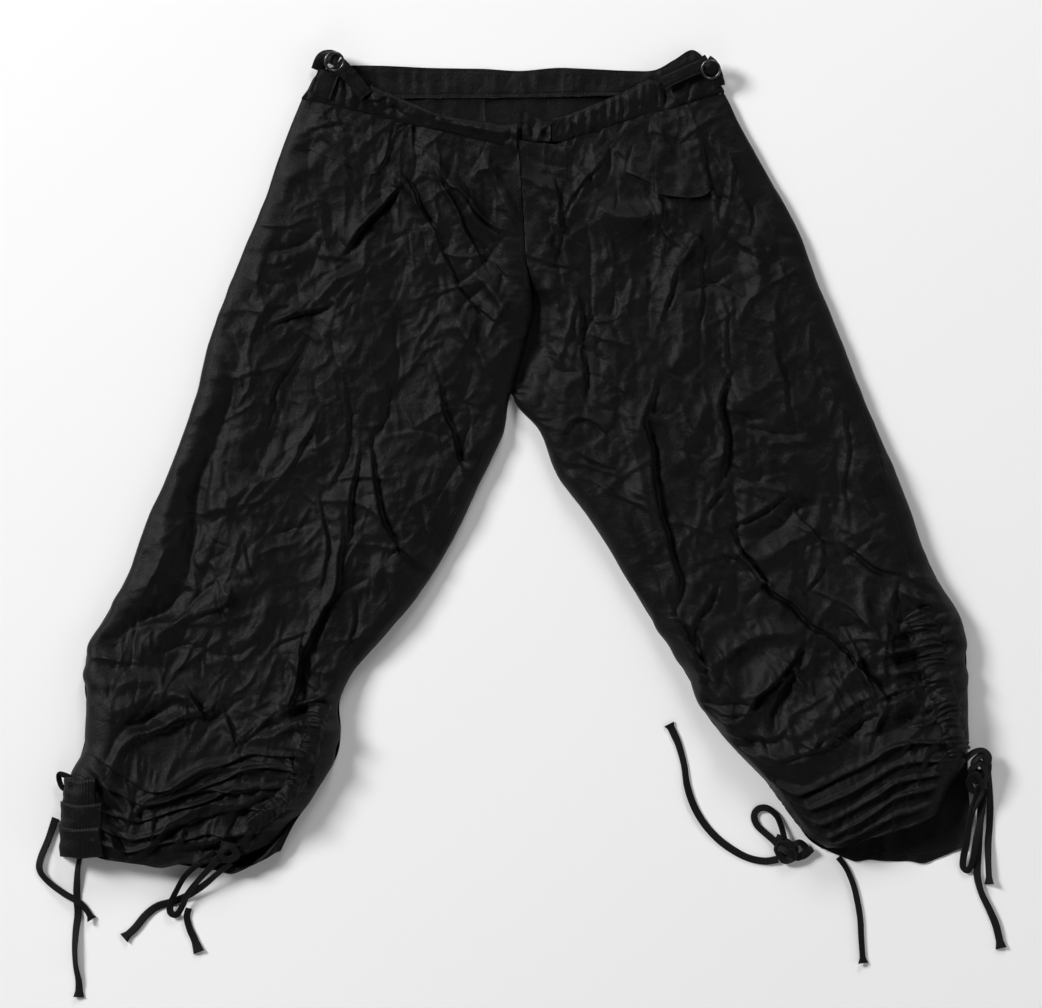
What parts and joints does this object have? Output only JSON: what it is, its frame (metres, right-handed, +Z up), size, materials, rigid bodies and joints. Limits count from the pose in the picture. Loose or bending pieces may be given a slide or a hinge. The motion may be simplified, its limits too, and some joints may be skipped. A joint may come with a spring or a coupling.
{
  "type": "capri pants",
  "caption": "Black cotton capri pants laid flat, with a low waistband, side adjusters, pocket flaps and drawcord-gathered cuffs.",
  "frame": {"origin": "on the surface under the middle of the garment's bounding box, without its cords", "axes": "+Z up from the surface, out of the front; +Y from the hems to the waist; +X to the wearer's left"},
  "size_m": [0.9669, 0.9471, 0.0391],
  "materials": {
    "cloth": "black crumpled cotton sateen with a slight sheen",
    "drawcord": "black flat woven cotton tape, dull, frayed at its ends",
    "ring_metal": "dark nickel wire, worn bright at its edge"
  },
  "bodies": {
    "root": {"front_right": "cloth", "front_left": "cloth", "back_right": "cloth", "back_left": "cloth", "waistband_back": "cloth", "waistband_front_right": "cloth", "waistband_front_left": "cloth", "fly_underlap": "cloth", "pocket_flap_right": "cloth", "pocket_flap_left": "cloth", "channel_outer_left": "cloth", "channel_inner_right": "cloth", "channel_outer_right": "cloth", "channel_inner_left": "cloth", "adjuster_strap_right": "cloth", "adjuster_tab_right": "cloth", "adjuster_end_right": "cloth", "adjuster_strap_left": "cloth", "adjuster_end_left": "cloth", "adjuster_ring_right": "ring_metal", "adjuster_ring_left": "ring_metal", "knot_outer_right": "drawcord", "knot_inner_right": "drawcord", "knot_inner_left": "drawcord", "knot_outer_left": "drawcord", "cord_outer_right_a": "drawcord", "cord_outer_right_b": "drawcord", "cord_inner_right_a": "drawcord", "cord_inner_right_loop": "drawcord", "cord_inner_right_b": "drawcord", "cord_inner_left_a": "drawcord", "cord_inner_left_loop": "drawcord", "cord_inner_left_b": "drawcord", "cord_outer_left_a": "drawcord", "cord_outer_left_b": "drawcord", "cord_outer_left_loop": "drawcord"}
  },
  "joints": []
}
